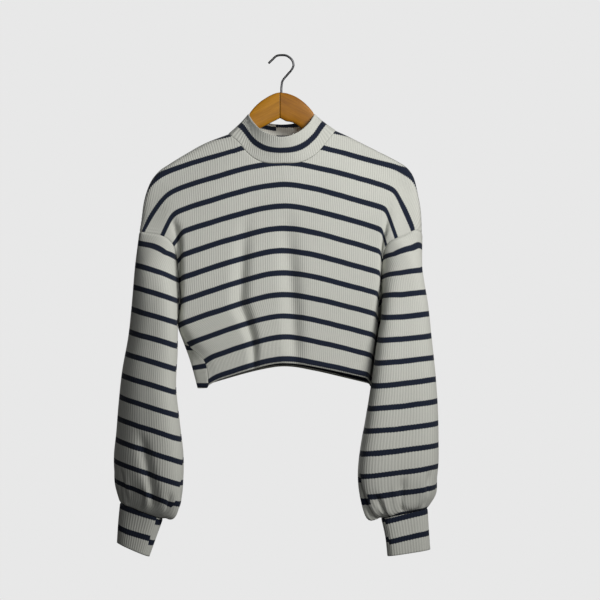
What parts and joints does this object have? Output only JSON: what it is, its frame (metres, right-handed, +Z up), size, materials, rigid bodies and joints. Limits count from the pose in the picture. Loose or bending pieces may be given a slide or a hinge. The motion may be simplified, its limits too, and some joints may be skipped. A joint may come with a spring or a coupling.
{
  "type": "crop top on a hanger",
  "caption": "Striped rib-knit cropped top with a mock neck and gathered bishop sleeves, hanging on a wooden hanger with a wire hook.",
  "frame": {"origin": "where the hook rests on its peg or rail, at the inner top of the hook", "axes": "+Z up, +X to the right as seen from the front, -Y towards the front of the garment"},
  "size_m": [0.5515, 0.1568, 0.8518],
  "materials": {
    "knit": "cream fine rib knit with navy stripes, soft and matt",
    "rib": "cream ribbing with navy stripes, soft and matt",
    "wood": "honey-coloured lacquered wood, smooth satin",
    "steel": "dark bright-drawn steel wire"
  },
  "bodies": {
    "root": {"front": "knit", "back": "knit", "sleeve_left": "knit", "sleeve_right": "knit", "cuff_left": "rib", "cuff_right": "rib", "collar": "rib", "hanger_arm_left": "wood", "hanger_arm_right": "wood", "hanger_hook": "steel"}
  },
  "joints": []
}
